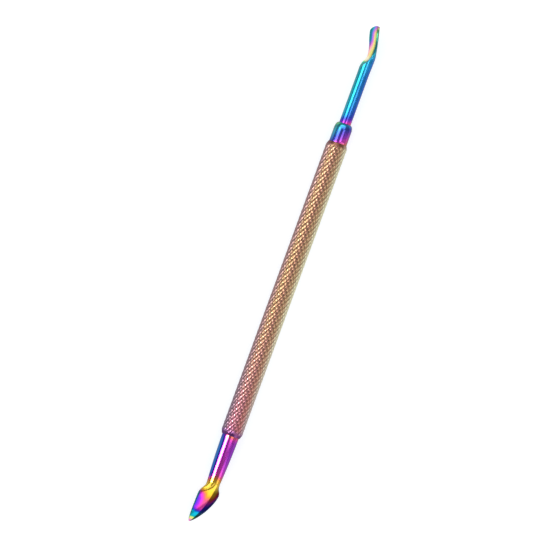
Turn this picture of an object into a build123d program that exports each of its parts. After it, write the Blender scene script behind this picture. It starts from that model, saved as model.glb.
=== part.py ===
from build123d import *

import os
from math import cos, radians, sin, sqrt, tan

# A double-ended cuticle pusher, in millimetres. The handle lies along X, with its middle at the
# origin. +X points to the scooped pusher blade, -X to the pointed spear blade, and +Z is up when
# the tool lies on a table. Four separate pieces: a knurled handle tube, a collar pressed into one
# end of it, the pusher bonded into that collar, and the spear bonded into the tube's other end.

# Handle tube. The knurl's crests lie on the outer radius, so the tube is a plain cylinder there.
GRIP_LENGTH = 79.5
GRIP_RADIUS = 2.80
GRIP_BORE_RADIUS = 2.10
GRIP_CHAMFER_LENGTH = 1.0
GRIP_CHAMFER_DEPTH = 0.38

# Joints between the pieces: spigots are this much smaller in radius than the bores they sit in.
BOND_GAP = 0.02
SPIGOT_LENGTH = 8.0

# Collar at the pusher end.
COLLAR_RADIUS = 2.35
COLLAR_LENGTH = 5.35
COLLAR_NOSE_LENGTH = 1.7
COLLAR_BORE_RADIUS = 1.55
COLLAR_FLOOR = 1.5

# Pusher blade and its shank. The dish faces up and sideways, rolled about X from +Y towards +Z.
PUSHER_ROLL = 20.0
PUSHER_SHANK_RADIUS = 1.53
PUSHER_ROOT_RADIUS = 1.62
PUSHER_ROOT_START_X = 58.5
PUSHER_ROOT_END_X = 62.5
PUSHER_TIP_X = 71.35
PUSHER_BEND_X = 63.6
PUSHER_BEND_BLEND = 0.8
PUSHER_BEND_ANGLE = 15.0
BLADE_HALF_WIDTH = 2.7
BLADE_FLARE_START_X = 62.6
BLADE_FLARE_END_X = 68.4
BLADE_ROUND_LENGTH = 1.9
BACK_ARC_HEIGHT = 0.85
BACK_ARC_START_X = 62.3
BACK_ARC_END_X = 65.6
PUSHER_STATION_COUNT = 23

# The dish: one round-bottomed cut that enters the shank steeply, runs level, then follows the
# bent blade. Heights are measured along the dish's own normal, from the handle's axis.
DISH_RADIUS = 4.4
DISH_ENTRY_X = 63.1
DISH_ENTRY_HEIGHT = -0.28
DISH_ENTRY_SLOPE = -0.565
DISH_LEVEL_SLOPE = -0.03
DISH_BEND_X = 66.6
DISH_ENTRY_BLEND = 0.7
DISH_BEND_BLEND = 1.2
DISH_TOOL_HALF_WIDTH = 3.4
DISH_TOOL_TOP = 6.0

# How far the blade is drawn past its tip before its end is rounded, and the dish cut past that.
BLADE_PAST_TIP = 0.6
DISH_TOOL_PAST_BLADE = 0.5

# Spear blade and its shank. The ridged back faces up and to the -Y side.
SPEAR_ROLL = 45.0
SPEAR_SHANK_RADIUS = 2.22
SPEAR_MIDDLE_RADIUS = 2.08
SPEAR_MIDDLE_X = -46.0
SPEAR_NECK_RADIUS = 1.72
SPEAR_NECK_X = -52.4
SPEAR_FLARE_END_X = -55.7
SPEAR_SHOULDER_X = -55.9
SPEAR_TIP_X = -64.1
SPEAR_HALF_WIDTH = 3.45
SPEAR_OUTLINE_POWER = 1.5
SPEAR_OUTLINE_ROOT = 0.7
SPEAR_RIDGE_HEIGHT = 0.95
SPEAR_RIDGE_POWER = 0.8
SPEAR_TIP_RIDGE = 0.05
SPEAR_FLANK_HEIGHT = 0.62
SPEAR_SIDE_BULGE = 0.02
SPEAR_EDGE_THICKNESS = 0.60
SPEAR_TIP_THICKNESS = 0.10
SPEAR_HOLLOW = 0.15
SPEAR_HOLLOW_HALF_WAY = 0.7
SPEAR_DROP_SLOPE = 0.20
SPEAR_DROP_CURVE = 0.028
SPEAR_SIDE_ANGLE = 10.0
SPEAR_TIP_CUT = 0.06
SPEAR_STATION_COUNT = 18


def smooth_step(start, end, value):
    """0 before start, 1 after end, and a smooth S between them."""
    share = min(max((value - start) / (end - start), 0.0), 1.0)
    return share * share * (3.0 - 2.0 * share)


def bend(distance, blend):
    """0 before a bend and the distance past it after, joined by a parabola 2 * blend long."""
    if distance <= -blend:
        return 0.0
    if distance >= blend:
        return distance
    return (distance + blend) ** 2 / (4.0 * blend)


def sagitta(half_width, radius):
    """How far an arc of this radius rises at half_width from its middle."""
    return radius - sqrt(radius**2 - half_width**2)


def mix(first, second, share):
    """The point that is this share of the way from first to second."""
    return tuple(a + (b - a) * share for a, b in zip(first, second))


def closed_arcs(corners, middles, plane):
    """A face on a plane, bounded by one arc from each corner to the next through its middle."""
    following = corners[1:] + corners[:1]
    arcs = [ThreePointArc(a, m, b) for a, m, b in zip(corners, middles, following)]
    return plane * make_face(arcs)


def turned(*edges):
    """The solid made by turning a half profile, drawn above the X axis, about that axis."""
    return revolve(make_face(edges), Axis.X, 360)


def grip_tube():
    """The handle: a tube with a chamfer on each end, where the knurl runs out."""
    end = GRIP_LENGTH / 2
    wall_end = end - GRIP_CHAMFER_LENGTH
    end_radius = GRIP_RADIUS - GRIP_CHAMFER_DEPTH
    outline = Polyline(
        (-end, GRIP_BORE_RADIUS),
        (-end, end_radius),
        (-wall_end, GRIP_RADIUS),
        (wall_end, GRIP_RADIUS),
        (end, end_radius),
        (end, GRIP_BORE_RADIUS),
        close=True,
    )
    return turned(outline)


def pusher_collar():
    """The collar: a spigot, a cylinder with an elliptical nose, and a blind bore for the shank."""
    base = GRIP_LENGTH / 2
    spigot_end = base - SPIGOT_LENGTH
    spigot_radius = GRIP_BORE_RADIUS - BOND_GAP
    front = base + COLLAR_LENGTH
    nose_start = front - COLLAR_NOSE_LENGTH
    floor = spigot_end + COLLAR_FLOOR
    body = Polyline(
        (front, COLLAR_BORE_RADIUS),
        (floor, COLLAR_BORE_RADIUS),
        (floor, 0),
        (spigot_end, 0),
        (spigot_end, spigot_radius),
        (base, spigot_radius),
        (base, COLLAR_RADIUS),
        (nose_start, COLLAR_RADIUS),
    )
    nose = EllipticalCenterArc(
        (nose_start, COLLAR_BORE_RADIUS),
        COLLAR_NOSE_LENGTH,
        COLLAR_RADIUS - COLLAR_BORE_RADIUS,
        arc_size=90,
    )
    return turned(body, nose)


def root_radius(x):
    """The shank's radius at x: it swells a little where the blade begins."""
    swell = smooth_step(PUSHER_ROOT_START_X, PUSHER_ROOT_END_X, x)
    return PUSHER_SHANK_RADIUS + (PUSHER_ROOT_RADIUS - PUSHER_SHANK_RADIUS) * swell


def back_height(x):
    """Height of the pusher's back at x: level, then rising with the bent blade."""
    past_bend = bend(x - PUSHER_BEND_X, PUSHER_BEND_BLEND)
    return -root_radius(x) + tan(radians(PUSHER_BEND_ANGLE)) * past_bend


def dish_height(x):
    """Height of the dish's lowest line at x."""
    rise = tan(radians(PUSHER_BEND_ANGLE))
    height = DISH_ENTRY_HEIGHT + DISH_ENTRY_SLOPE * (x - DISH_ENTRY_X)
    height += (DISH_LEVEL_SLOPE - DISH_ENTRY_SLOPE) * bend(x - DISH_ENTRY_X, DISH_ENTRY_BLEND)
    height += (rise - DISH_LEVEL_SLOPE) * bend(x - DISH_BEND_X, DISH_BEND_BLEND)
    return height


def stations(start, end, count):
    """Evenly spaced places along X, both ends included."""
    return [start + (end - start) * i / (count - 1) for i in range(count)]


def pusher_plane(x):
    """The section plane at x: its local Y is the dish's normal."""
    roll = radians(PUSHER_ROLL)
    return Plane(origin=(x, 0, 0), x_dir=(0, sin(roll), -cos(roll)), z_dir=(1, 0, 0))


def pusher_outer_section(x):
    """The pusher before the dish is cut: a round shank that widens, with a flatter back."""
    growth = smooth_step(BLADE_FLARE_START_X, BLADE_FLARE_END_X, x)
    root = root_radius(x)
    half = root + (BLADE_HALF_WIDTH - root) * growth
    flattening = smooth_step(BACK_ARC_START_X, BACK_ARC_END_X, x)
    arc_height = root + (BACK_ARC_HEIGHT - root) * flattening
    back = back_height(x)
    side = back + arc_height
    corners = [(-half, side), (half, side)]
    middles = [(0, back), (0, side + half)]
    return closed_arcs(corners, middles, pusher_plane(x))


def dish_section(x):
    """The dish cutter at x: round below and open above."""
    half = DISH_TOOL_HALF_WIDTH
    bottom = dish_height(x)
    edge = bottom + sagitta(half, DISH_RADIUS)
    floor = ThreePointArc((-half, edge), (0, bottom), (half, edge))
    sides = Polyline((half, edge), (half, DISH_TOOL_TOP), (-half, DISH_TOOL_TOP), (-half, edge))
    return pusher_plane(x) * make_face([floor, sides])


def tip_trim():
    """What is cut away round the pusher's tip, to leave a half-elliptical outline."""
    round_start = PUSHER_TIP_X - BLADE_ROUND_LENGTH
    block = Rectangle(2 * BLADE_ROUND_LENGTH, 4 * BLADE_HALF_WIDTH, align=(Align.MIN, Align.CENTER))
    outline = Ellipse(BLADE_ROUND_LENGTH, BLADE_HALF_WIDTH)
    roll = radians(PUSHER_ROLL)
    dish_up = Plane(origin=(round_start, 0, 0), x_dir=(1, 0, 0), z_dir=(0, cos(roll), sin(roll)))
    return extrude(dish_up * (block - outline), amount=2 * DISH_TOOL_TOP, both=True)


def cuticle_pusher():
    """The pusher: tang and shank in one, widening into a bent blade with a dish cut into it."""
    loft_start = PUSHER_ROOT_START_X
    tang_end = GRIP_LENGTH / 2 - SPIGOT_LENGTH + COLLAR_FLOOR
    shank_outline = Polyline(
        (tang_end, 0),
        (loft_start, 0),
        (loft_start, PUSHER_SHANK_RADIUS),
        (tang_end, PUSHER_SHANK_RADIUS),
        close=True,
    )
    blade_end = PUSHER_TIP_X + BLADE_PAST_TIP
    blade_stations = stations(loft_start, blade_end, PUSHER_STATION_COUNT)
    widening = loft([pusher_outer_section(x) for x in blade_stations])
    dish_stations = stations(loft_start, blade_end + DISH_TOOL_PAST_BLADE, PUSHER_STATION_COUNT)
    dish = loft([dish_section(x) for x in dish_stations])
    blade = widening - dish - tip_trim()
    return turned(shank_outline) + blade


def spear_plane(x, drop):
    """The section plane at x, lowered by the drop: its local Y is the back's normal."""
    roll = radians(SPEAR_ROLL)
    origin = (x, drop * sin(roll), -drop * cos(roll))
    return Plane(origin=origin, x_dir=(0, cos(roll), sin(roll)), z_dir=(1, 0, 0))


def spear_outline(share):
    """The spear's half width at a share of the way from its shoulder to its point."""
    return SPEAR_HALF_WIDTH * (1.0 - share**SPEAR_OUTLINE_POWER) ** SPEAR_OUTLINE_ROOT


def round_section(radius):
    """Corners and arc middles of a circle, split where the spear's edges and ridge will start."""
    side = SPEAR_SIDE_ANGLE
    corner_angles = [180 + side, 180 - side, 90, side, -side, -90]
    middle_angles = [180, 135 - side / 2, 45 + side / 2, 0, -45 - side / 2, -135 + side / 2]

    def on_circle(angle):
        return (radius * cos(radians(angle)), radius * sin(radians(angle)))

    return [on_circle(a) for a in corner_angles], [on_circle(a) for a in middle_angles]


def ridged_section(half, ridge, edge):
    """Corners and arc middles of the blade: two thin side walls, a ridged back, a hollow face."""
    flank = ridge * SPEAR_FLANK_HEIGHT
    hollow = SPEAR_HOLLOW * half / SPEAR_HALF_WIDTH
    half_hollow = hollow * SPEAR_HOLLOW_HALF_WAY
    side = half + SPEAR_SIDE_BULGE
    corners = [
        (-half, -edge),
        (-half, 0),
        (0, ridge),
        (half, 0),
        (half, -edge),
        (0, hollow - edge),
    ]
    middles = [
        (-side, -edge / 2),
        (-half / 2, flank),
        (half / 2, flank),
        (side, -edge / 2),
        (half / 2, half_hollow - edge),
        (-half / 2, half_hollow - edge),
    ]
    return corners, middles


def spear_section(x):
    """The spear's section at x: round at the neck, a ridged blade from the shoulder on."""
    past_shoulder = SPEAR_SHOULDER_X - x
    share = max(past_shoulder / (SPEAR_SHOULDER_X - SPEAR_TIP_X), 0.0)
    change = smooth_step(-SPEAR_NECK_X, -SPEAR_FLARE_END_X, -x)
    drop = (SPEAR_DROP_SLOPE * past_shoulder + SPEAR_DROP_CURVE * past_shoulder**2) * change
    half = spear_outline(share)
    ridge = SPEAR_RIDGE_HEIGHT * (1.0 - share) ** SPEAR_RIDGE_POWER + SPEAR_TIP_RIDGE
    edge = SPEAR_TIP_THICKNESS + (SPEAR_EDGE_THICKNESS - SPEAR_TIP_THICKNESS) * (1.0 - share)
    round_corners, round_middles = round_section(SPEAR_NECK_RADIUS)
    blade_corners, blade_middles = ridged_section(half, ridge, edge)
    corners = [mix(a, b, change) for a, b in zip(round_corners, blade_corners)]
    middles = [mix(a, b, change) for a, b in zip(round_middles, blade_middles)]
    return closed_arcs(corners, middles, spear_plane(x, drop))


def spear_pick():
    """The spear: tang, tapered shank, and a blade that curves down to a point."""
    base = -GRIP_LENGTH / 2
    tang_end = base + SPIGOT_LENGTH
    tang_radius = GRIP_BORE_RADIUS - BOND_GAP
    taper = Spline(
        (base, SPEAR_SHANK_RADIUS),
        (SPEAR_MIDDLE_X, SPEAR_MIDDLE_RADIUS),
        (SPEAR_NECK_X, SPEAR_NECK_RADIUS),
    )
    rest = Polyline(
        (SPEAR_NECK_X, SPEAR_NECK_RADIUS),
        (SPEAR_NECK_X, 0),
        (tang_end, 0),
        (tang_end, tang_radius),
        (base, tang_radius),
        (base, SPEAR_SHANK_RADIUS),
    )
    blade_stations = stations(SPEAR_NECK_X, SPEAR_TIP_X + SPEAR_TIP_CUT, SPEAR_STATION_COUNT)
    blade = loft([spear_section(x) for x in blade_stations])
    return turned(taper, rest) + blade


os.makedirs("parts", exist_ok=True)
export_step(grip_tube(), "parts/grip_tube.step")
export_step(pusher_collar(), "parts/pusher_collar.step")
export_step(cuticle_pusher(), "parts/cuticle_pusher.step")
export_step(spear_pick(), "parts/spear_pick.step")
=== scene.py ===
from math import atan2, cos, hypot, pi, radians, sin, sqrt, tan

import bmesh
import bpy
from mathutils import Matrix, Vector


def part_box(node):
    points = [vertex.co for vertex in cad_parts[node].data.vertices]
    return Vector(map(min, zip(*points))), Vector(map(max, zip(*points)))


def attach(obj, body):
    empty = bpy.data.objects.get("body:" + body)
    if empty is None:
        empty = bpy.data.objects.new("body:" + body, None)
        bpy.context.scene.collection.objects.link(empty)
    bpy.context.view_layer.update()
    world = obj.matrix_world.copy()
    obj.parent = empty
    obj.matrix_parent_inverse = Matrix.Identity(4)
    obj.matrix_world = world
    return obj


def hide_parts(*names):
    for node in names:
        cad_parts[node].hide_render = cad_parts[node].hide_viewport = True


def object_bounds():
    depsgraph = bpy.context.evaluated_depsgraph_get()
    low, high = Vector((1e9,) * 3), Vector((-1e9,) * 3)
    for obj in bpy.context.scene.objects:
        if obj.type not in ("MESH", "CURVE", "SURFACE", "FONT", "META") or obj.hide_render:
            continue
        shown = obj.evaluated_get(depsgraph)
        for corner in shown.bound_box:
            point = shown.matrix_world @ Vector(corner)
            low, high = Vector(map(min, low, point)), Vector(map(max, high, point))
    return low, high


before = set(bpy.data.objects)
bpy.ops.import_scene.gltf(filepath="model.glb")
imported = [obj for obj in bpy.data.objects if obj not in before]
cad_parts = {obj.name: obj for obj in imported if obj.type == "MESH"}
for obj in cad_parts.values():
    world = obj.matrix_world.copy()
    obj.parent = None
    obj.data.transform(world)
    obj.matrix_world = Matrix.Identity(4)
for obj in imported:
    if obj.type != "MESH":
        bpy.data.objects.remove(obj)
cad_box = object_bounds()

# A double-ended cuticle pusher with a rainbow coating. Lengths below are in millimetres, and become
# metres where an object is made. X runs along the handle, with the scooped pusher blade at its +X
# end and the pointed spear blade at its -X end. Z is up.

MM = 0.001

grip_low, grip_high = (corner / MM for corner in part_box("grip_tube"))
collar_low, collar_high = (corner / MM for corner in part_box("pusher_collar"))
pusher_low, pusher_high = (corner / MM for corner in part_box("cuticle_pusher"))
spear_low, spear_high = (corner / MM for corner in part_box("spear_pick"))

# Handle, with a diamond knurl. The second set of grooves has a share of the first set's depth, and
# the flat on a crest is a share of the pitch.
GRIP_END = grip_high.x
GRIP_RADIUS = grip_high.z
GRIP_BORE_RADIUS = 2.10
GRIP_CHAMFER_LENGTH = 1.0
GRIP_CHAMFER_DEPTH = 0.38
KNURL_STARTS = 18
KNURL_AXIAL_PITCH = 1.635
KNURL_DEPTH = 0.14
KNURL_SECOND_DEPTH = 0.62
KNURL_CREST_FLAT = 0.30

# Collar.
COLLAR_RADIUS = collar_high.z
COLLAR_FRONT = collar_high.x
COLLAR_NOSE_LENGTH = 1.7
COLLAR_BORE_RADIUS = 1.55
COLLAR_BORE_FLOOR = 1.5
COLLAR_EDGE_RADIUS = 0.12
SPIGOT_RADIUS = 2.08

# Pusher blade.
PUSHER_ROLL = radians(20.0)
PUSHER_SHANK_RADIUS = 1.53
PUSHER_ROOT_RADIUS = 1.62
PUSHER_ROOT_START_X = 58.5
PUSHER_ROOT_END_X = 62.5
PUSHER_TIP_X = pusher_high.x
PUSHER_BEND_X = 63.6
PUSHER_BEND_BLEND = 0.8
PUSHER_RISE = tan(radians(15.0))
BLADE_HALF_WIDTH = 2.7
BLADE_FLARE_START_X = 62.6
BLADE_FLARE_END_X = 68.4
BLADE_ROUND_LENGTH = 1.9
BACK_ARC_HEIGHT = 0.85
BACK_ARC_START_X = 62.3
BACK_ARC_END_X = 65.6
DISH_RADIUS = 4.4
DISH_ENTRY_X = 63.1
DISH_ENTRY_HEIGHT = -0.28
DISH_ENTRY_SLOPE = -0.565
DISH_LEVEL_SLOPE = -0.03
DISH_BEND_X = 66.6
DISH_ENTRY_BLEND = 0.7
DISH_BEND_BLEND = 1.2

# Spear blade.
SPEAR_ROLL = radians(45.0)
SPEAR_SHANK_RADIUS = 2.22
SPEAR_MIDDLE_RADIUS = 2.08
SPEAR_MIDDLE_X = -46.0
SPEAR_NECK_RADIUS = 1.72
SPEAR_NECK_X = -52.4
SPEAR_FLARE_END_X = -55.7
SPEAR_SHOULDER_X = -55.9
SPEAR_TIP_X = spear_low.x
SPEAR_HALF_WIDTH = 3.45
SPEAR_OUTLINE_POWER = 1.5
SPEAR_OUTLINE_ROOT = 0.7
SPEAR_TIP_HALF_WIDTH = 0.02
SPEAR_RIDGE_HEIGHT = 0.95
SPEAR_RIDGE_POWER = 0.8
SPEAR_TIP_RIDGE = 0.05
SPEAR_FLANK_HEIGHT = 0.62
SPEAR_SIDE_BULGE = 0.02
SPEAR_EDGE_THICKNESS = 0.60
SPEAR_TIP_THICKNESS = 0.10
SPEAR_HOLLOW = 0.15
SPEAR_HOLLOW_HALF_WAY = 0.7
SPEAR_DROP_SLOPE = 0.20
SPEAR_DROP_CURVE = 0.028
SPEAR_SIDE_ANGLE = 10.0

# How finely the meshes are divided: points round a ring, or rings along a stretch.
BORE_SEGMENTS = 72
CHAMFER_RINGS = 5
COLLAR_SEGMENTS = 128
COLLAR_EDGE_RINGS = 6
COLLAR_BARREL_RINGS = 8
COLLAR_NOSE_RINGS = 24
PUSHER_ARC_POINTS = 41
PUSHER_WALL_POINTS = 14
PUSHER_DISH_POINTS = 33
PUSHER_FINE_START_X = 59.0
PUSHER_SHANK_RINGS = 40
PUSHER_BLADE_RINGS = 140
PUSHER_TIP_RINGS = 30
PUSHER_WALL_HALVINGS = 40
SPEAR_ARC_POINTS = (6, 22, 22, 6, 18, 18)
SPEAR_SHANK_RINGS = 40
SPEAR_NECK_RINGS = 40
SPEAR_BLADE_RINGS = 60

# Points nearer than this are one point, and a face's edge is sharp where it turns by more degrees.
SAME_POINT = 1e-5
KNURL_SHARP_ANGLE = 12
COLLAR_SHARP_ANGLE = 30
BLADE_SHARP_ANGLE = 32


def smooth_step(start, end, value):
    """0 before start, 1 after end, and a smooth S between them."""
    share = min(max((value - start) / (end - start), 0.0), 1.0)
    return share * share * (3.0 - 2.0 * share)


def bend(distance, blend):
    """0 before a bend and the distance past it after, joined by a parabola 2 * blend long."""
    if distance <= -blend:
        return 0.0
    if distance >= blend:
        return distance
    return (distance + blend) ** 2 / (4.0 * blend)


def sagitta(half_width, radius):
    """How far an arc of this radius rises at half_width from its middle."""
    return radius - sqrt(max(radius**2 - half_width**2, 0.0))


def spread(start, end, count):
    """Evenly spaced numbers, both ends included."""
    return [start + (end - start) * i / (count - 1) for i in range(count)]


def finish_mesh(name, mesh_edit, sharp_angle):
    """Turns a bmesh in millimetres into a smooth-shaded object in metres."""
    bmesh.ops.remove_doubles(mesh_edit, verts=mesh_edit.verts, dist=SAME_POINT)
    bmesh.ops.dissolve_degenerate(mesh_edit, edges=mesh_edit.edges, dist=SAME_POINT)
    bmesh.ops.recalc_face_normals(mesh_edit, faces=mesh_edit.faces)
    bmesh.ops.scale(mesh_edit, vec=(MM, MM, MM), verts=mesh_edit.verts)
    mesh = bpy.data.meshes.new(name)
    mesh_edit.to_mesh(mesh)
    mesh_edit.free()
    mesh.shade_smooth()
    mesh.set_sharp_from_angle(angle=radians(sharp_angle))
    piece = bpy.data.objects.new(name, mesh)
    bpy.context.scene.collection.objects.link(piece)
    return piece


def skin_rings(mesh_edit, rings):
    """Joins closed rings of points into a tube with a flat face on each end."""
    loops = [[mesh_edit.verts.new(point) for point in ring] for ring in rings]
    count = len(loops[0])
    for near, far in zip(loops, loops[1:]):
        for i in range(count):
            following = (i + 1) % count
            mesh_edit.faces.new((near[i], near[following], far[following], far[i]))
    mesh_edit.faces.new(loops[0])
    mesh_edit.faces.new(loops[-1])


def circle(x, radius, segments):
    """Points on a circle round the X axis."""
    angles = [2 * pi * i / segments for i in range(segments)]
    return [(x, radius * cos(angle), radius * sin(angle)) for angle in angles]


# ---------------------------------------------------------------- handle

def groove_height(place):
    """0 in the middle of a groove and 1 on the flat between two, for a place counted in grooves."""
    from_groove = 1.0 - abs(2.0 * (place % 1.0) - 1.0)
    return min(from_groove / (1.0 - KNURL_CREST_FLAT), 1.0)


def knurl_height(x, angle):
    """0 at the bottom of the grooves and 1 on the crests."""
    turn = KNURL_STARTS * angle / (2 * pi)
    along = x / KNURL_AXIAL_PITCH
    shallower = 1.0 - KNURL_SECOND_DEPTH * (1.0 - groove_height(turn + along))
    return min(groove_height(turn - along), shallower)


def grip_surface_radius(x, angle):
    """The knurled surface, cut back by the chamfer at each end."""
    knurled = GRIP_RADIUS - KNURL_DEPTH * (1.0 - knurl_height(x, angle))
    into_chamfer = max(abs(x) - (GRIP_END - GRIP_CHAMFER_LENGTH), 0.0)
    cone = GRIP_RADIUS - GRIP_CHAMFER_DEPTH * into_chamfer / GRIP_CHAMFER_LENGTH
    return min(knurled, cone)


def knurl_lattice(mesh_edit):
    """A cylinder of faces whose edges follow both sets of grooves, longer than the handle.

    A place on it is (up, down), counted across the two sets. Each diamond cell between four grooves
    is divided in three both ways, into a flat crest and the slopes round it.
    """
    crest_start = 0.5 - KNURL_CREST_FLAT / 2
    steps = [0.0, crest_start, 1.0 - crest_start]
    per_cell = len(steps)
    cells_each_way = int(GRIP_END / KNURL_AXIAL_PITCH) + 2
    full_turn = KNURL_STARTS * per_cell
    verts = {}

    def place(index):
        return index // per_cell + steps[index % per_cell]

    def vertex(up, down):
        # Both counts grow by full_turn in one turn, so places a turn apart share their vertex.
        turns = (up + down) // (2 * full_turn)
        key = (up - turns * full_turn, down - turns * full_turn)
        if key not in verts:
            first, second = place(key[0]), place(key[1])
            angle = pi * (first + second) / KNURL_STARTS
            x = KNURL_AXIAL_PITCH * (first - second) / 2
            point = (x, GRIP_RADIUS * cos(angle), GRIP_RADIUS * sin(angle))
            verts[key] = mesh_edit.verts.new(point)
        return verts[key]

    for difference in range(-2 * cells_each_way, 2 * cells_each_way):
        for down_cell in range(KNURL_STARTS):
            up_cell = down_cell + difference
            for a in range(per_cell):
                for b in range(per_cell):
                    up = up_cell * per_cell + a
                    down = down_cell * per_cell + b
                    places = [(up, down), (up + 1, down), (up + 1, down + 1), (up, down + 1)]
                    corners = [vertex(*place_index) for place_index in places]
                    on_crest_or_slope = a == 1 or b == 1
                    if on_crest_or_slope:
                        mesh_edit.faces.new(corners)
                        continue
                    # Where grooves of both sets meet, a crease runs out of the crossing.
                    if a != b:
                        corners = corners[1:] + corners[:1]
                    mesh_edit.faces.new(corners[:3])
                    mesh_edit.faces.new((corners[0], corners[2], corners[3]))


def cut_at(mesh_edit, x, outward=0):
    """Adds edges where the plane at x crosses; outward is the side to drop, or 0 for neither."""
    geometry = mesh_edit.verts[:] + mesh_edit.edges[:] + mesh_edit.faces[:]
    bmesh.ops.bisect_plane(
        mesh_edit,
        geom=geometry,
        dist=SAME_POINT / 10,
        plane_co=(x, 0, 0),
        plane_no=(outward or 1, 0, 0),
        clear_outer=bool(outward),
    )


def bore_rim(mesh_edit, x):
    """A circle of edges round the X axis, where the bore comes out of the handle."""
    points = circle(x, GRIP_BORE_RADIUS, BORE_SEGMENTS)
    verts = [mesh_edit.verts.new(point) for point in points]
    return [mesh_edit.edges.new((verts[i - 1], verts[i])) for i in range(BORE_SEGMENTS)]


def make_grip():
    """The handle: a knurled tube with chamfered ends and a through bore."""
    mesh_edit = bmesh.new()
    knurl_lattice(mesh_edit)
    chamfer_start = GRIP_END - GRIP_CHAMFER_LENGTH
    for side in (-1, 1):
        cut_at(mesh_edit, side * GRIP_END, outward=side)
        for x in spread(chamfer_start, GRIP_END, CHAMFER_RINGS)[:-1]:
            cut_at(mesh_edit, side * x)
    for vertex in mesh_edit.verts:
        x, y, z = vertex.co
        angle = atan2(z, y)
        radius = grip_surface_radius(x, angle)
        vertex.co = (x, radius * cos(angle), radius * sin(angle))
    open_edges = [edge for edge in mesh_edit.edges if edge.is_boundary]
    bore_rims = []
    for side in (-1, 1):
        outer_rim = [edge for edge in open_edges if edge.verts[0].co.x * side > 0]
        rim = bore_rim(mesh_edit, side * GRIP_END)
        bmesh.ops.bridge_loops(mesh_edit, edges=outer_rim + rim)
        bore_rims += rim
    bmesh.ops.bridge_loops(mesh_edit, edges=bore_rims)
    return finish_mesh("knurled_handle", mesh_edit, KNURL_SHARP_ANGLE)


# ---------------------------------------------------------------- collar

def make_collar():
    """The collar: spigot, shoulder, barrel and rounded nose, with a blind bore for the shank."""
    nose_start = COLLAR_FRONT - COLLAR_NOSE_LENGTH
    nose_depth = COLLAR_RADIUS - COLLAR_BORE_RADIUS
    edge = COLLAR_EDGE_RADIUS
    profile = [(collar_low.x, 0.0), (collar_low.x, SPIGOT_RADIUS), (GRIP_END, SPIGOT_RADIUS)]
    for angle in spread(0, pi / 2, COLLAR_EDGE_RINGS):
        x = GRIP_END + edge * (1 - cos(angle))
        profile.append((x, COLLAR_RADIUS - edge * (1 - sin(angle))))
    for x in spread(GRIP_END + edge, nose_start, COLLAR_BARREL_RINGS)[1:]:
        profile.append((x, COLLAR_RADIUS))
    for angle in spread(pi / 2, 0, COLLAR_NOSE_RINGS)[1:]:
        x = nose_start + COLLAR_NOSE_LENGTH * cos(angle)
        profile.append((x, COLLAR_BORE_RADIUS + nose_depth * sin(angle)))
    bore_floor = collar_low.x + COLLAR_BORE_FLOOR
    profile += [(bore_floor, COLLAR_BORE_RADIUS), (bore_floor, 0.0)]
    mesh_edit = bmesh.new()
    skin_rings(mesh_edit, [circle(x, radius, COLLAR_SEGMENTS) for x, radius in profile])
    return finish_mesh("collar", mesh_edit, COLLAR_SHARP_ANGLE)


# ---------------------------------------------------------------- pusher

def root_radius(x):
    """The shank's radius at x: it swells a little where the blade begins."""
    swell = smooth_step(PUSHER_ROOT_START_X, PUSHER_ROOT_END_X, x)
    return PUSHER_SHANK_RADIUS + (PUSHER_ROOT_RADIUS - PUSHER_SHANK_RADIUS) * swell


def back_height(x):
    """Height of the pusher's back at x: level, then rising with the bent blade."""
    return -root_radius(x) + PUSHER_RISE * bend(x - PUSHER_BEND_X, PUSHER_BEND_BLEND)


def dish_height(x):
    """Height of the dish's lowest line at x."""
    height = DISH_ENTRY_HEIGHT + DISH_ENTRY_SLOPE * (x - DISH_ENTRY_X)
    height += (DISH_LEVEL_SLOPE - DISH_ENTRY_SLOPE) * bend(x - DISH_ENTRY_X, DISH_ENTRY_BLEND)
    height += (PUSHER_RISE - DISH_LEVEL_SLOPE) * bend(x - DISH_BEND_X, DISH_BEND_BLEND)
    return height


def tip_half_width(x, half):
    """Half the width that the rounded tip leaves of a blade whose half width is half at x."""
    past = (x - (PUSHER_TIP_X - BLADE_ROUND_LENGTH)) / BLADE_ROUND_LENGTH
    if past <= 0:
        return half
    return min(half, BLADE_HALF_WIDTH * sqrt(max(1.0 - past**2, 0.0)))


def wall_end_angle(x, half, side):
    """How far up the side wall, a quarter circle, the dish cuts it, as an angle."""
    low, high = 0.0, pi / 2
    for _ in range(PUSHER_WALL_HALVINGS):
        middle = (low + high) / 2
        height = side + half * sin(middle)
        above_dish = height - dish_height(x) - sagitta(half * cos(middle), DISH_RADIUS)
        low, high = (low, middle) if above_dish > 0 else (middle, high)
    return low


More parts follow.
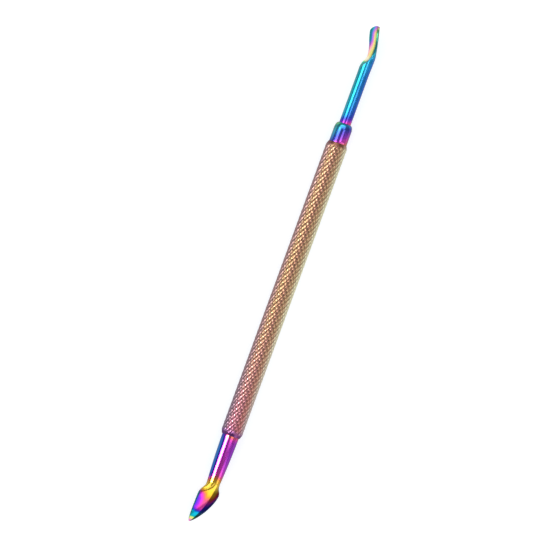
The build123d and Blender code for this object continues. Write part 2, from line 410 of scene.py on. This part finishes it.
def pusher_ring(x):
    """One ring of the pusher: back arc, side wall up to the dish, dish, and the other wall."""
    growth = smooth_step(BLADE_FLARE_START_X, BLADE_FLARE_END_X, x)
    root = root_radius(x)
    half = root + (BLADE_HALF_WIDTH - root) * growth
    flattening = smooth_step(BACK_ARC_START_X, BACK_ARC_END_X, x)
    arc_height = root + (BACK_ARC_HEIGHT - root) * flattening
    back = back_height(x)
    side = back + arc_height
    back_radius = (half**2 + arc_height**2) / (2 * arc_height)
    reach = tip_half_width(x, half)

    # Where the shank is still whole, the walls meet on top and the dish is a single point.
    wall_end = wall_end_angle(x, half, side)
    cut = min(half * cos(wall_end), reach)
    top = side + half * sin(wall_end)
    if cut < half * cos(wall_end):
        top = dish_height(x) + sagitta(cut, DISH_RADIUS)

    arc_angle = atan2(reach, back_radius - sagitta(reach, back_radius))
    arc = []
    for angle in spread(-arc_angle, arc_angle, PUSHER_ARC_POINTS):
        arc.append((back_radius * sin(angle), back + back_radius * (1 - cos(angle))))
    wall = []
    if reach < half:
        for height in spread(arc[-1][1], top, PUSHER_WALL_POINTS):
            wall.append((reach, height))
    else:
        for angle in spread(0, wall_end, PUSHER_WALL_POINTS):
            wall.append((half * cos(angle), side + half * sin(angle)))
    dish = []
    for across in spread(cut, -cut, PUSHER_DISH_POINTS):
        in_dish = dish_height(x) + sagitta(abs(across), DISH_RADIUS)
        dish.append((across, top if cut < SAME_POINT else in_dish))
    other_wall = [(-across, height) for across, height in reversed(wall)]
    outline = arc[:-1] + wall[:-1] + dish[:-1] + other_wall[:-1]
    on_axis = Vector((x, 0, 0))
    right = Vector((0, sin(PUSHER_ROLL), -cos(PUSHER_ROLL)))
    normal = Vector((0, cos(PUSHER_ROLL), sin(PUSHER_ROLL)))
    return [on_axis + right * across + normal * height for across, height in outline]


def make_pusher():
    """The pusher: tang, shank and the bent, dished blade."""
    round_start = PUSHER_TIP_X - BLADE_ROUND_LENGTH
    places = spread(pusher_low.x, PUSHER_FINE_START_X, PUSHER_SHANK_RINGS)
    places += spread(PUSHER_FINE_START_X, round_start, PUSHER_BLADE_RINGS)[1:]
    for angle in spread(0, pi / 2, PUSHER_TIP_RINGS)[1:]:
        places.append(round_start + BLADE_ROUND_LENGTH * sin(angle))
    mesh_edit = bmesh.new()
    skin_rings(mesh_edit, [pusher_ring(x) for x in places])
    return finish_mesh("pusher_blade", mesh_edit, BLADE_SHARP_ANGLE)


# ---------------------------------------------------------------- spear

def spear_outline(share):
    """The spear's half width at a share of the way from its shoulder to its point."""
    return SPEAR_HALF_WIDTH * (1.0 - share**SPEAR_OUTLINE_POWER) ** SPEAR_OUTLINE_ROOT


def arc_through(start, middle, end, count):
    """Points along the arc through three points, both ends included."""
    (ax, ay), (bx, by), (cx, cy) = start, middle, end
    twice_area = 2 * (ax * (by - cy) + bx * (cy - ay) + cx * (ay - by))
    a2, b2, c2 = ax**2 + ay**2, bx**2 + by**2, cx**2 + cy**2
    centre_x = (a2 * (by - cy) + b2 * (cy - ay) + c2 * (ay - by)) / twice_area
    centre_y = (a2 * (cx - bx) + b2 * (ax - cx) + c2 * (bx - ax)) / twice_area
    radius = hypot(ax - centre_x, ay - centre_y)
    first = atan2(ay - centre_y, ax - centre_x)
    last = atan2(cy - centre_y, cx - centre_x)
    sweep = (last - first) % (2 * pi)
    half_way = (atan2(by - centre_y, bx - centre_x) - first) % (2 * pi)
    if half_way > sweep:
        sweep -= 2 * pi
    angles = [first + sweep * share for share in spread(0, 1, count)]
    return [(centre_x + radius * cos(a), centre_y + radius * sin(a)) for a in angles]


def round_section(radius):
    """Corners and arc middles of a circle, split where the spear's edges and ridge will start."""
    side = SPEAR_SIDE_ANGLE
    corner_angles = [180 + side, 180 - side, 90, side, -side, -90]
    middle_angles = [180, 135 - side / 2, 45 + side / 2, 0, -45 - side / 2, -135 + side / 2]

    def on_circle(angle):
        return (radius * cos(radians(angle)), radius * sin(radians(angle)))

    return [on_circle(a) for a in corner_angles], [on_circle(a) for a in middle_angles]


def ridged_section(half, ridge, edge):
    """Corners and arc middles of the blade: thin side walls, a ridge on top, a hollow underside."""
    flank = ridge * SPEAR_FLANK_HEIGHT
    hollow = SPEAR_HOLLOW * half / SPEAR_HALF_WIDTH
    half_hollow = hollow * SPEAR_HOLLOW_HALF_WAY
    side = half + SPEAR_SIDE_BULGE
    corners = [
        (-half, -edge),
        (-half, 0),
        (0, ridge),
        (half, 0),
        (half, -edge),
        (0, hollow - edge),
    ]
    middles = [
        (-side, -edge / 2),
        (-half / 2, flank),
        (half / 2, flank),
        (side, -edge / 2),
        (half / 2, half_hollow - edge),
        (-half / 2, half_hollow - edge),
    ]
    return corners, middles


def spear_ring(x, neck_radius=SPEAR_NECK_RADIUS):
    """One ring of the spear: round up to the neck, a ridged blade from the shoulder on."""
    past_shoulder = SPEAR_SHOULDER_X - x
    share = min(max(past_shoulder / (SPEAR_SHOULDER_X - SPEAR_TIP_X), 0.0), 1.0)
    change = smooth_step(-SPEAR_NECK_X, -SPEAR_FLARE_END_X, -x)
    drop = (SPEAR_DROP_SLOPE * past_shoulder + SPEAR_DROP_CURVE * past_shoulder**2) * change
    half = max(spear_outline(share), SPEAR_TIP_HALF_WIDTH)
    ridge = SPEAR_RIDGE_HEIGHT * (1.0 - share) ** SPEAR_RIDGE_POWER + SPEAR_TIP_RIDGE
    edge = SPEAR_TIP_THICKNESS + (SPEAR_EDGE_THICKNESS - SPEAR_TIP_THICKNESS) * (1.0 - share)
    round_corners, round_middles = round_section(neck_radius)
    blade_corners, blade_middles = ridged_section(half, ridge, edge)

    def mix(first, second):
        return tuple(a + (b - a) * change for a, b in zip(first, second))

    corners = [mix(a, b) for a, b in zip(round_corners, blade_corners)]
    middles = [mix(a, b) for a, b in zip(round_middles, blade_middles)]
    outline = []
    following = corners[1:] + corners[:1]
    for start, middle, end, count in zip(corners, middles, following, SPEAR_ARC_POINTS):
        outline += arc_through(start, middle, end, count)[:-1]
    on_axis = Vector((x, 0, 0))
    right = Vector((0, cos(SPEAR_ROLL), sin(SPEAR_ROLL)))
    normal = Vector((0, -sin(SPEAR_ROLL), cos(SPEAR_ROLL)))
    return [on_axis + right * across + normal * (height - drop) for across, height in outline]


def spear_shank_radius(x):
    """The shank's taper: a parabola through its radius at the handle, middle and neck."""
    base, middle, neck = -GRIP_END, SPEAR_MIDDLE_X, SPEAR_NECK_X
    a = (x - middle) * (x - neck) / ((base - middle) * (base - neck))
    b = (x - base) * (x - neck) / ((middle - base) * (middle - neck))
    c = (x - base) * (x - middle) / ((neck - base) * (neck - middle))
    return a * SPEAR_SHANK_RADIUS + b * SPEAR_MIDDLE_RADIUS + c * SPEAR_NECK_RADIUS


def make_spear():
    """The spear: tang, tapered shank, and the ridged blade."""
    rings = [spear_ring(spear_high.x, SPIGOT_RADIUS), spear_ring(-GRIP_END, SPIGOT_RADIUS)]
    for x in spread(-GRIP_END, SPEAR_NECK_X, SPEAR_SHANK_RINGS):
        rings.append(spear_ring(x, spear_shank_radius(x)))
    for x in spread(SPEAR_NECK_X, SPEAR_SHOULDER_X, SPEAR_NECK_RINGS)[1:]:
        rings.append(spear_ring(x))
    for angle in spread(0, pi / 2, SPEAR_BLADE_RINGS)[1:]:
        rings.append(spear_ring(SPEAR_SHOULDER_X + (SPEAR_TIP_X - SPEAR_SHOULDER_X) * sin(angle)))
    mesh_edit = bmesh.new()
    skin_rings(mesh_edit, rings)
    return finish_mesh("spear_blade", mesh_edit, BLADE_SHARP_ANGLE)


# ---------------------------------------------------------------- stage

# The camera looks straight down. TOOL_LEAN is from the picture's upright to the tool's axis.
TOOL_LEAN = radians(20.11)
VIEW_WIDTH = 136.1
VIEW_CENTRE = (3.98, 6.27)
CAMERA_HEIGHT = 900.0
SENSOR_WIDTH = 36.0

FLOOR_REACH = 1500.0
FLOOR_GREY = 0.42
FLOOR_ROUGHNESS = 0.8
FLOOR_GLOW = 0.72
FLOOR_GLOW_COLOUR = (0.94, 0.97, 1.0, 1)

# The sky's strength on the object, and as the object reflects it: dim, so that the coating's
# colours stay deep.
SKY = 0.95
REFLECTED_SKY = 0.55
SKY_COLOUR = (0.93, 0.95, 1.0, 1)

# Light panels, all at one distance from the X axis. Each has a name, an angle from straight up
# towards +Y and the angle that it spans, both in degrees, where it starts and ends along X, and its
# radiance.
LIGHT_DISTANCE = 800.0
SOFT_BOXES = (
    ("spear_left_box", 38, 32, -220.0, -65.0, 30.0),
    ("spear_right_box", -28, 34, -110.0, -42.0, 2.6),
    ("blade_box", -66, 34, -1100.0, -150.0, 2.2),
    ("grip_left_box", 48, 40, -65.0, 39.5, 4.2),
    ("grip_right_box", -60, 45, -42.0, 39.5, 2.5),
    ("pusher_left_box", 38, 26, 39.5, 200.0, 4.8),
    ("pusher_right_box", -20, 22, 39.5, 110.0, 4.2),
    ("front_box", 12, 75, 200.0, 1000.0, 2.4),
)


def make_camera():
    """Straight down onto the tool, with its pusher end up and a little to the right."""
    right = Vector((sin(TOOL_LEAN), -cos(TOOL_LEAN), 0))
    up = Vector((cos(TOOL_LEAN), sin(TOOL_LEAN), 0))
    data = bpy.data.cameras.new("camera")
    data.sensor_width = SENSOR_WIDTH
    data.lens = SENSOR_WIDTH * CAMERA_HEIGHT / VIEW_WIDTH
    camera = bpy.data.objects.new("camera", data)
    place = Vector((*VIEW_CENTRE, CAMERA_HEIGHT)) * MM
    turn = Matrix((right, up, right.cross(up))).transposed()
    camera.matrix_world = Matrix.Translation(place) @ turn.to_4x4()
    bpy.context.scene.collection.objects.link(camera)
    bpy.context.scene.camera = camera


def make_floor():
    """A plain pale floor that the tool lies on, with a faint glow so that it stays near white."""
    floor_edit = bmesh.new()
    bmesh.ops.create_grid(floor_edit, x_segments=1, y_segments=1, size=FLOOR_REACH * MM)
    mesh = bpy.data.meshes.new("floor")
    floor_edit.to_mesh(mesh)
    floor_edit.free()
    floor = bpy.data.objects.new("floor", mesh)
    floor.location.z = cad_box[0][2]
    bpy.context.scene.collection.objects.link(floor)
    material = bpy.data.materials.new("floor")
    material.use_nodes = True
    shader = material.node_tree.nodes["Principled BSDF"]
    shader.inputs["Base Color"].default_value = (FLOOR_GREY, FLOOR_GREY, FLOOR_GREY, 1)
    shader.inputs["Roughness"].default_value = FLOOR_ROUGHNESS
    shader.inputs["Emission Color"].default_value = FLOOR_GLOW_COLOUR
    shader.inputs["Emission Strength"].default_value = FLOOR_GLOW
    mesh.materials.append(material)


def make_soft_box(name, angle, span, start_x, end_x, radiance):
    """A panel that faces the tool's axis, and lights the tool only by being reflected."""
    lean = radians(angle)
    middle = ((start_x + end_x) / 2, LIGHT_DISTANCE * sin(lean), LIGHT_DISTANCE * cos(lean))
    data = bpy.data.lights.new(name, "AREA")
    data.shape = "RECTANGLE"
    data.size = (end_x - start_x) * MM
    data.size_y = 2 * LIGHT_DISTANCE * MM * tan(radians(span) / 2)
    data.energy = radiance * pi * data.size * data.size_y
    light = bpy.data.objects.new(name, data)
    light.visible_diffuse = False
    light.location = Vector(middle) * MM
    light.rotation_euler = (-lean, 0, 0)
    bpy.context.scene.collection.objects.link(light)


def make_world():
    """A pale sky all round, with its own strength where it is reflected."""
    world = bpy.data.worlds.new("world")
    bpy.context.scene.world = world
    world.use_nodes = True
    tree = world.node_tree
    background = tree.nodes["Background"]
    path = tree.nodes.new("ShaderNodeLightPath")
    background.inputs["Color"].default_value = SKY_COLOUR
    strength = calc(tree, "MULTIPLY_ADD", path.outputs["Is Glossy Ray"], REFLECTED_SKY - SKY, SKY)
    tree.links.new(strength, background.inputs["Strength"])


# ---------------------------------------------------------------- materials

def feed(tree, socket, term):
    """Sets a socket to a number or colour, or links it to another socket."""
    if isinstance(term, (int, float, tuple)):
        socket.default_value = term
    else:
        tree.links.new(term, socket)


def calc(tree, operation, *terms, clamp=False):
    """A maths node, fed with numbers or sockets."""
    node = tree.nodes.new("ShaderNodeMath")
    node.operation = operation
    node.use_clamp = clamp
    for socket, term in zip(node.inputs, terms):
        feed(tree, socket, term)
    return node.outputs[0]


def from_srgb(red, green, blue):
    """A colour given in the usual 0 to 255 screen values, as linear light."""
    def linear(channel):
        share = channel / 255
        return share / 12.92 if share <= 0.04045 else ((share + 0.055) / 1.055) ** 2.4
    return (linear(red), linear(green), linear(blue), 1.0)


# The colours that a thin coating passes through as it gets thicker. The phase counts its rounds,
# and a little more than one round is listed.
COATING = (
    (0.00, from_srgb(240, 222, 160)),
    (0.06, from_srgb(250, 205, 50)),
    (0.12, from_srgb(245, 145, 45)),
    (0.18, from_srgb(235, 95, 120)),
    (0.24, from_srgb(240, 60, 200)),
    (0.30, from_srgb(165, 45, 220)),
    (0.37, from_srgb(85, 45, 205)),
    (0.44, from_srgb(35, 75, 210)),
    (0.52, from_srgb(10, 140, 225)),
    (0.60, from_srgb(20, 195, 220)),
    (0.68, from_srgb(0, 160, 160)),
    (0.76, from_srgb(90, 220, 160)),
    (0.84, from_srgb(215, 235, 120)),
    (0.90, from_srgb(250, 235, 130)),
    (0.97, from_srgb(250, 150, 200)),
    (1.04, from_srgb(190, 110, 230)),
    (1.12, from_srgb(60, 150, 220)),
    (1.20, from_srgb(20, 170, 170)),
)

# The handle's colours round its axis, with painted light and shade in their lighter and darker
# bands, by quarter turns from the top towards +Y: over most of its length, and at its spear end.
COPPER_LIT_SHADED_ROUND = (
    (-0.64, from_srgb(231, 235, 192)),
    (-0.42, from_srgb(172, 153, 114)),
    (-0.23, from_srgb(153, 129, 94)),
    (-0.08, from_srgb(116, 88, 70)),
    (0.08, from_srgb(152, 122, 92)),
    (0.24, from_srgb(176, 149, 106)),
    (0.40, from_srgb(134, 112, 86)),
    (0.62, from_srgb(166, 140, 134)),
)
PLUM_LIT_SHADED_ROUND = (
    (-0.64, from_srgb(178, 152, 162)),
    (-0.42, from_srgb(170, 106, 114)),
    (-0.23, from_srgb(156, 92, 103)),
    (-0.08, from_srgb(122, 75, 92)),
    (0.08, from_srgb(147, 96, 116)),
    (0.24, from_srgb(186, 122, 152)),
    (0.40, from_srgb(125, 90, 112)),
    (0.62, from_srgb(137, 126, 145)),
)
VIOLET_END = from_srgb(120, 80, 165)
GROOVE_SHADE_TINT = from_srgb(200, 165, 175)
WHITE = from_srgb(255, 255, 255)
# The cream of the painted highlight in the pusher's dish.
PAINTED_HIGHLIGHT_CREAM = from_srgb(250, 246, 225)


def ramp(tree, source, stops, interpolation="LINEAR"):
    """A run of colours, given as (source value, colour) stops, level beyond its ends."""
    first, last = stops[0][0], stops[-1][0]
    node = tree.nodes.new("ShaderNodeValToRGB")
    node.color_ramp.interpolation = interpolation
    elements = node.color_ramp.elements
    while len(elements) < len(stops):
        elements.new(0.5)
    for element, (place, colour) in zip(elements, stops):
        element.position = (place - first) / (last - first)
        element.color = colour
    share = calc(tree, "DIVIDE", calc(tree, "SUBTRACT", source, first), last - first)
    tree.links.new(share, node.inputs["Fac"])
    return node.outputs["Color"]


def coating_colour(tree, phase, brightness):
    """The coating's colour at a phase."""
    stops = []
    for place, colour in COATING:
        stops.append((place, [channel * brightness for channel in colour[:3]] + [1.0]))
    return ramp(tree, phase, stops)


def graph(tree, source, *points):
    """A smooth curve through (input, output) points, level beyond its ends."""
    low = min(y for _, y in points)
    high = max(y for _, y in points)
    stops = []
    for x, y in points:
        grey = (y - low) / (high - low)
        stops.append((x, (grey, grey, grey, 1)))
    grey_curve = ramp(tree, source, stops, "CARDINAL")
    return calc(tree, "MULTIPLY_ADD", grey_curve, high - low, low)


def mix_colours(tree, share, first, second, blend_type="MIX"):
    """The first colour, and as much of the second as share says."""
    node = tree.nodes.new("ShaderNodeMix")
    node.data_type = "RGBA"
    node.blend_type = blend_type
    # A mix node has a set of sockets for each data type: these are the factor and the two colours.
    sockets = (node.inputs[0], node.inputs[6], node.inputs[7])
    for socket, term in zip(sockets, (share, first, second)):
        feed(tree, socket, term)
    return node.outputs[2]


def noise(tree, vector, scale, detail):
    """Soft random patches about 1 / scale long, from 0 to 1."""
    node = tree.nodes.new("ShaderNodeTexNoise")
    node.inputs["Scale"].default_value = scale
    node.inputs["Detail"].default_value = detail
    tree.links.new(vector, node.inputs["Vector"])
    return node.outputs["Fac"]


# How uneven the coating's phase is, and how many uneven patches there are to a millimetre.
COATING_UNEVENNESS = 0.03
COATING_PATCH_SCALE = 0.5

# The polish: its roughness is a least value, more in worn patches and more in its fine lines, each
# as a share of the piece's roughness.
WORN_PATCH_SCALE = 0.9
LEAST_ROUGHNESS = 0.6
PATCH_ROUGHNESS = 0.8
LINE_ROUGHNESS = 0.3
POLISH_LINE_STRENGTH = 0.06
POLISH_LINE_DEPTH = 0.02

# The clear gloss over the coating, and the tint of what the coating reflects at grazing angles.
GLOSS_ROUGHNESS = 0.12
GLOSS_IOR = 1.6
GRAZING_TINT = (0.3, 0.3, 0.3, 1)


class Coat:
    """A coated-metal material being made, with the places that its colour depends on."""

    def __init__(self, name):
        self.material = bpy.data.materials.new(name)
        self.material.use_nodes = True
        self.tree = self.material.node_tree
        self.shader = self.tree.nodes["Principled BSDF"]
        self.shader.inputs["Metallic"].default_value = 1.0
        self.shader.inputs["Specular Tint"].default_value = GRAZING_TINT
        self.shader.inputs["Coat Roughness"].default_value = GLOSS_ROUGHNESS
        self.shader.inputs["Coat IOR"].default_value = GLOSS_IOR
        coordinates = self.tree.nodes.new("ShaderNodeTexCoord")
        scale = self.tree.nodes.new("ShaderNodeVectorMath")
        scale.operation = "SCALE"
        scale.inputs["Scale"].default_value = 1 / MM
        self.tree.links.new(coordinates.outputs["Object"], scale.inputs[0])
        self.place = scale.outputs[0]
        split = self.tree.nodes.new("ShaderNodeSeparateXYZ")
        self.tree.links.new(self.place, split.inputs[0])
        self.x, self.y, self.z = split.outputs
        normal = self.tree.nodes.new("ShaderNodeSeparateXYZ")
        self.tree.links.new(coordinates.outputs["Normal"], normal.inputs[0])
        self.normal_x, self.normal_y, self.normal_z = normal.outputs
        # Quarter turns round the handle: 0 on top, 1 on the +Y side and -1 on the -Y side.
        turn = calc(self.tree, "ARCTAN2", self.y, self.z)
        self.turn = calc(self.tree, "DIVIDE", turn, pi / 2)

    def calc(self, operation, *terms, clamp=False):
        return calc(self.tree, operation, *terms, clamp=clamp)

    def graph(self, source, *points):
        return graph(self.tree, source, *points)

    def place_along(self, angle):
        """How far the place is from the axis, in a direction at an angle from +Y towards +Z."""
        y_part = self.calc("MULTIPLY", self.y, cos(angle))
        return self.calc("MULTIPLY_ADD", self.z, sin(angle), y_part)

    def facing(self, angle):
        """How much the surface faces a direction at an angle from +Y towards +Z: 1 is straight."""
        y_part = self.calc("MULTIPLY", self.normal_y, cos(angle))
        return self.calc("MULTIPLY_ADD", self.normal_z, sin(angle), y_part)

    def stretched(self, x_scale, across_scale):
        """The place, scaled differently along and across the handle."""
        node = self.tree.nodes.new("ShaderNodeVectorMath")
        node.operation = "MULTIPLY"
        node.inputs[1].default_value = (x_scale, across_scale, across_scale)
        self.tree.links.new(self.place, node.inputs[0])
        return node.outputs[0]

    def uneven(self, phase, amount=COATING_UNEVENNESS, scale=COATING_PATCH_SCALE):
        """The phase, with the slight unevenness of a real coating."""
        patches = self.calc("SUBTRACT", noise(self.tree, self.place, scale, detail=3.0), 0.5)
        return self.calc("MULTIPLY_ADD", patches, amount, phase)

    def finish(self, colour, gloss, roughness, polish_lines):
        """Sets the colour and gloss, and gives the polish its fine lines and worn patches."""
        tree = self.tree
        tree.links.new(colour, self.shader.inputs["Base Color"])
        feed(tree, self.shader.inputs["Coat Weight"], gloss)
        patches = noise(tree, self.place, WORN_PATCH_SCALE, detail=5.0)
        lines = noise(tree, polish_lines, scale=1.0, detail=2.0)
        least = roughness * LEAST_ROUGHNESS
        rough = self.calc("MULTIPLY_ADD", patches, roughness * PATCH_ROUGHNESS, least)
        rough = self.calc("MULTIPLY_ADD", lines, roughness * LINE_ROUGHNESS, rough)
        tree.links.new(rough, self.shader.inputs["Roughness"])
        bump = tree.nodes.new("ShaderNodeBump")
        bump.inputs["Strength"].default_value = POLISH_LINE_STRENGTH
        bump.inputs["Distance"].default_value = POLISH_LINE_DEPTH * MM
        tree.links.new(lines, bump.inputs["Height"])
        tree.links.new(bump.outputs["Normal"], self.shader.inputs["Normal"])
        return self.material


def grip_material():
    """Copper, plum towards the spear end and violet on its chamfer, with painted shade in its
    grooves and painted light and shade round its axis.
    """
    coat = Coat("knurled_coating")
    plum = coat.graph(
        coat.x, (-40, 1.0), (-36, 0.75), (-28, 0.5), (-16, 0.2), (0, 0.0), (40, 0.08)
    )
    plum = coat.uneven(plum, amount=0.5, scale=1.2)
    # Copper and plum, with painted light and shade round the axis.
    copper_colour = ramp(coat.tree, coat.turn, COPPER_LIT_SHADED_ROUND)
    plum_colour = ramp(coat.tree, coat.turn, PLUM_LIT_SHADED_ROUND)
    colour = mix_colours(coat.tree, plum, copper_colour, plum_colour)
    violet = coat.graph(coat.x, (-39.6, 0.8), (-38.0, 0.0))
    colour = mix_colours(coat.tree, violet, colour, VIOLET_END)

    # Painted shade: the grooves are darkened the deeper they lie below the crests.
    z_squared = coat.calc("MULTIPLY", coat.z, coat.z)
    radius = coat.calc("SQRT", coat.calc("MULTIPLY_ADD", coat.y, coat.y, z_squared))
    below_crests = coat.calc("SUBTRACT", GRIP_RADIUS, radius)
    depth = coat.calc("DIVIDE", below_crests, KNURL_DEPTH, clamp=True)
    shade = mix_colours(coat.tree, depth, WHITE, GROOVE_SHADE_TINT)
    colour = mix_colours(coat.tree, 1.0, colour, shade, blend_type="MULTIPLY")
    return coat.finish(colour, gloss=0.1, roughness=0.32, polish_lines=coat.stretched(6, 6))


def collar_material():
    """Magenta at the shoulder to blue and cyan at the nose."""
    coat = Coat("collar_coating")
    along = coat.graph(
        coat.x,
        (39.8, 0.23),
        (40.2, 0.28),
        (41.7, 0.36),
        (43, 0.42),
        (44.2, 0.52),
        (44.7, 0.59),
        (45.1, 0.48),
    )
    side = coat.graph(
        coat.turn, (-1, -0.14), (-0.5, -0.08), (0, 0.0), (0.2, 0.07), (0.5, 0.17), (1, 0.27)
    )
    phase = coat.uneven(coat.calc("ADD", along, side))
    colour = coating_colour(coat.tree, phase, brightness=0.5)
    return coat.finish(colour, gloss=0.6, roughness=0.16, polish_lines=coat.stretched(12, 0.6))


def pusher_material():
    """Magenta at the collar to cyan and green at the blade, and a yellow to pink dish."""
    coat = Coat("pusher_coating")
    along = coat.graph(
        coat.x,
        (45.1, 0.25),
        (45.7, 0.31),
        (46.2, 0.38),
        (47.0, 0.48),
        (50, 0.54),
        (58, 0.56),
        (63, 0.60),
        (65, 0.68),
        (68, 0.73),
        (70.4, 0.80),
        (71.3, 1.0),
    )
    side = coat.graph(coat.turn, (-1, -0.1), (-0.5, -0.06), (0, 0.0), (0.5, 0.07), (1, 0.1))
    outside = coat.uneven(coat.calc("ADD", along, side))
    outside_colour = coating_colour(coat.tree, outside, brightness=0.6)

    # In the dish the phase drifts across as well, and rises towards its far rim.
    drift = -0.05
    rim_start = -0.8
    across = coat.place_along(PUSHER_ROLL + pi / 2)
    dish_along = coat.graph(
        coat.x,
        (60, 0.66),
        (61.6, 0.68),
        (62.2, 0.84),
        (63, 0.86),
        (65, 0.865),
        (68.4, 0.87),
        (69.8, 0.90),
        (71, 1.02),
    )
    into_rim = coat.calc("MAXIMUM", coat.calc("SUBTRACT", rim_start, across), 0.0)
    far_rim = coat.calc("MULTIPLY", into_rim, coat.graph(coat.x, (65.5, 0.0), (68, 0.13)))
    dish = coat.calc("MULTIPLY_ADD", across, drift, coat.calc("ADD", dish_along, far_rim))
    dish_colour = coating_colour(coat.tree, coat.uneven(dish), brightness=0.9)
    # A painted highlight: a cream spot just past the dish's entry.
    pale = coat.graph(coat.x, (61.8, 0.0), (62.4, 0.8), (63.8, 0.0))
    dish_colour = mix_colours(coat.tree, pale, dish_colour, PAINTED_HIGHLIGHT_CREAM)

    # The dish is what faces its own side of the blade, from its sloping entry on.
    least_facing = 0.35
    least_slope = 0.2
    past_entry = coat.graph(coat.x, (62.5, 0.0), (63.5, 1.0))
    slope = coat.calc("ADD", coat.normal_x, past_entry)
    on_slope = coat.calc("GREATER_THAN", slope, least_slope)
    faces_dish_side = coat.calc("GREATER_THAN", coat.facing(PUSHER_ROLL), least_facing)
    inside = coat.calc("MULTIPLY", faces_dish_side, on_slope)
    colour = mix_colours(coat.tree, inside, outside_colour, dish_colour)
    return coat.finish(colour, gloss=0.4, roughness=0.18, polish_lines=coat.stretched(12, 0.6))


def spear_material():
    """Magenta on the shank, gold at the neck, then pink, blue, green and yellow to the point."""
    coat = Coat("spear_coating")
    along = coat.graph(
        coat.x,
        (-63.6, 0.98),
        (-63.1, 0.90),
        (-62.6, 0.80),
        (-62.3, 0.64),
        (-61.2, 0.57),
        (-60.6, 0.38),
        (-60.1, 0.245),
        (-58.5, 0.21),
        (-57.2, 0.175),
        (-56.5, 0.12),
        (-55.6, 0.07),
        (-53.5, 0.055),
        (-52.4, 0.065),
        (-51.4, 0.11),
        (-50.1, 0.22),
        (-46, 0.26),
        (-41.5, 0.26),
        (-40.6, 0.22),
        (-39.8, 0.15),
    )
    on_shank = coat.graph(coat.x, (-53, 0.0), (-50.5, 1.0))
    side = coat.graph(
        coat.turn,
        (-1, 0.03),
        (-0.4, 0.025),
        (-0.15, 0.0),
        (0.2, 0.01),
        (0.33, 0.08),
        (0.5, 0.21),
        (1, 0.28),
    )

    # Far from the ridge, the phase rises towards the blade's edges.
    rise = 0.1
    rise_start = 1.2
    on_blade = coat.graph(coat.x, (-56, 1.0), (-54.5, 0.0))
    from_ridge = coat.calc("ABSOLUTE", coat.place_along(SPEAR_ROLL))
    near_edge = coat.calc("MAXIMUM", coat.calc("SUBTRACT", from_ridge, rise_start), 0.0)
    edge_phase = coat.calc("MULTIPLY", near_edge, rise)
    phase = coat.calc("MULTIPLY_ADD", on_shank, side, along)
    phase = coat.uneven(coat.calc("MULTIPLY_ADD", on_blade, edge_phase, phase))
    # Painted light: near the point the coat is painted brighter, standing in for a bright
    # reflection.
    highlight_near_point = coat.graph(coat.x, (-61.2, 1.0), (-60.3, 0.0))
    usual_colour = coating_colour(coat.tree, phase, brightness=0.55)
    point_highlight_colour = coating_colour(coat.tree, phase, brightness=0.95)
    colour = mix_colours(coat.tree, highlight_near_point, usual_colour, point_highlight_colour)

    # The blade's flank away from +Y is painted darker, as painted shade, and its side wall towards
    # +Y has a teal coat.
    facing = coat.facing(SPEAR_ROLL)
    on_blade_or_neck = coat.graph(coat.x, (-55, 1.0), (-53, 0.0))
    painted_shade_flank = coat.graph(facing, (-0.12, 1.0), (0.04, 0.0))
    painted_shade_flank = coat.calc("MULTIPLY", painted_shade_flank, on_blade_or_neck)
    far_phase = coat.graph(
        coat.x,
        (-62.8, 0.74),
        (-61.5, 0.58),
        (-60, 0.42),
        (-58.8, 0.31),
        (-57.7, 0.22),
        (-56.6, 0.13),
        (-55.5, 0.07),
        (-53, 0.05),
    )
    far_phase = coat.uneven(coat.calc("ADD", far_phase, edge_phase))
    painted_shade_colour = coating_colour(coat.tree, far_phase, brightness=0.18)
    colour = mix_colours(coat.tree, painted_shade_flank, colour, painted_shade_colour)
    wall = coat.calc("MULTIPLY", coat.graph(facing, (0.6, 0.0), (0.7, 1.0)), on_blade)
    wall_phase = coat.graph(coat.x, (-63.4, 0.76), (-61.5, 0.7), (-60, 0.66), (-55, 0.62))
    wall_colour = coating_colour(coat.tree, wall_phase, brightness=0.35)
    colour = mix_colours(coat.tree, wall, colour, wall_colour)

    # The blade is less glossy than the shank.
    gloss = coat.graph(coat.x, (-55, 0.05), (-52.5, 0.35))
    return coat.finish(colour, gloss, roughness=0.13, polish_lines=coat.stretched(8, 0.8))


make_camera()
make_floor()
make_world()
for panel in SOFT_BOXES:
    make_soft_box(*panel)
bpy.context.scene.view_settings.view_transform = "Standard"

for piece, node, slot, material in (
    (make_grip(), "grip_tube", "knurled_grip", grip_material()),
    (make_collar(), "pusher_collar", "collar_steel", collar_material()),
    (make_pusher(), "cuticle_pusher", "pusher_steel", pusher_material()),
    (make_spear(), "spear_pick", "spear_steel", spear_material()),
):
    piece.data.materials.append(material)
    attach(piece, "root")
    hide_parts(node)
